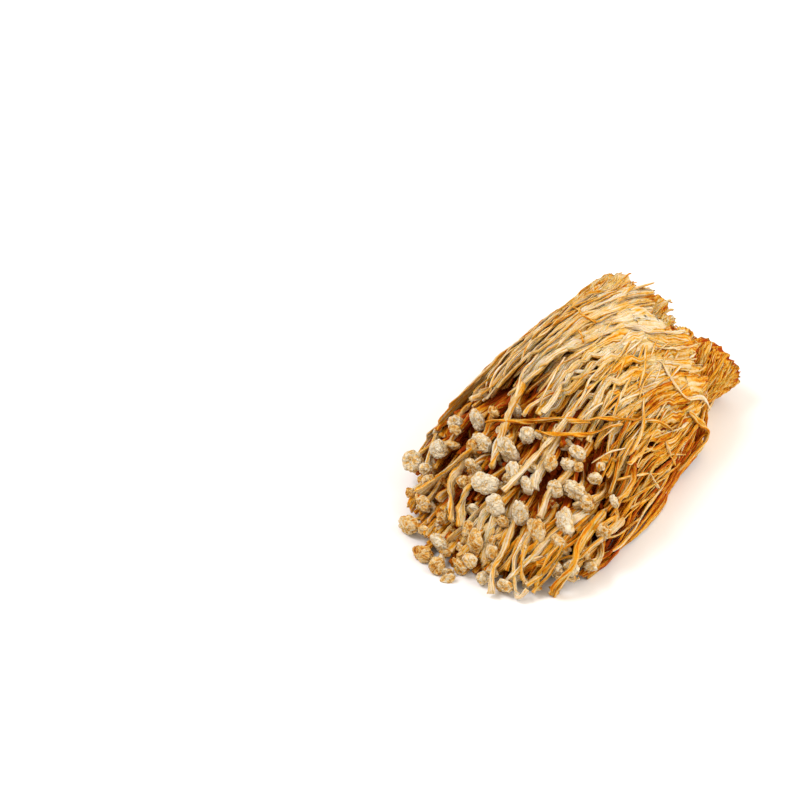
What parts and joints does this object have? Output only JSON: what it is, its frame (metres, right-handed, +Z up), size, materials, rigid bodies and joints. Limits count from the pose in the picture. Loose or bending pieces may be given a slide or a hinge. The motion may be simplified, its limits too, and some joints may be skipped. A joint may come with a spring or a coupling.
{
  "type": "dried enoki mushroom bunch",
  "caption": "Bunch of dried golden enoki mushrooms lying on its side: matted slender stems, torn root end, face of small wrinkled caps.",
  "frame": {"origin": "on the surface that the bunch lies on, under the middle of its box", "axes": "+Y along the bunch towards the root end, caps at -Y; +Z up; +X to the right when looking from the caps to the roots"},
  "size_m": [0.0692, 0.1287, 0.0361],
  "materials": {
    "dried_stem": "dry fibrous golden stems with pale edges, satin to matt",
    "dried_cap": "dry wrinkled cream caps, matt",
    "root_mat": "matted pale to dark golden fibres, matt"
  },
  "bodies": {
    "root": {"enoki_bunch": "dried_stem"}
  },
  "joints": []
}
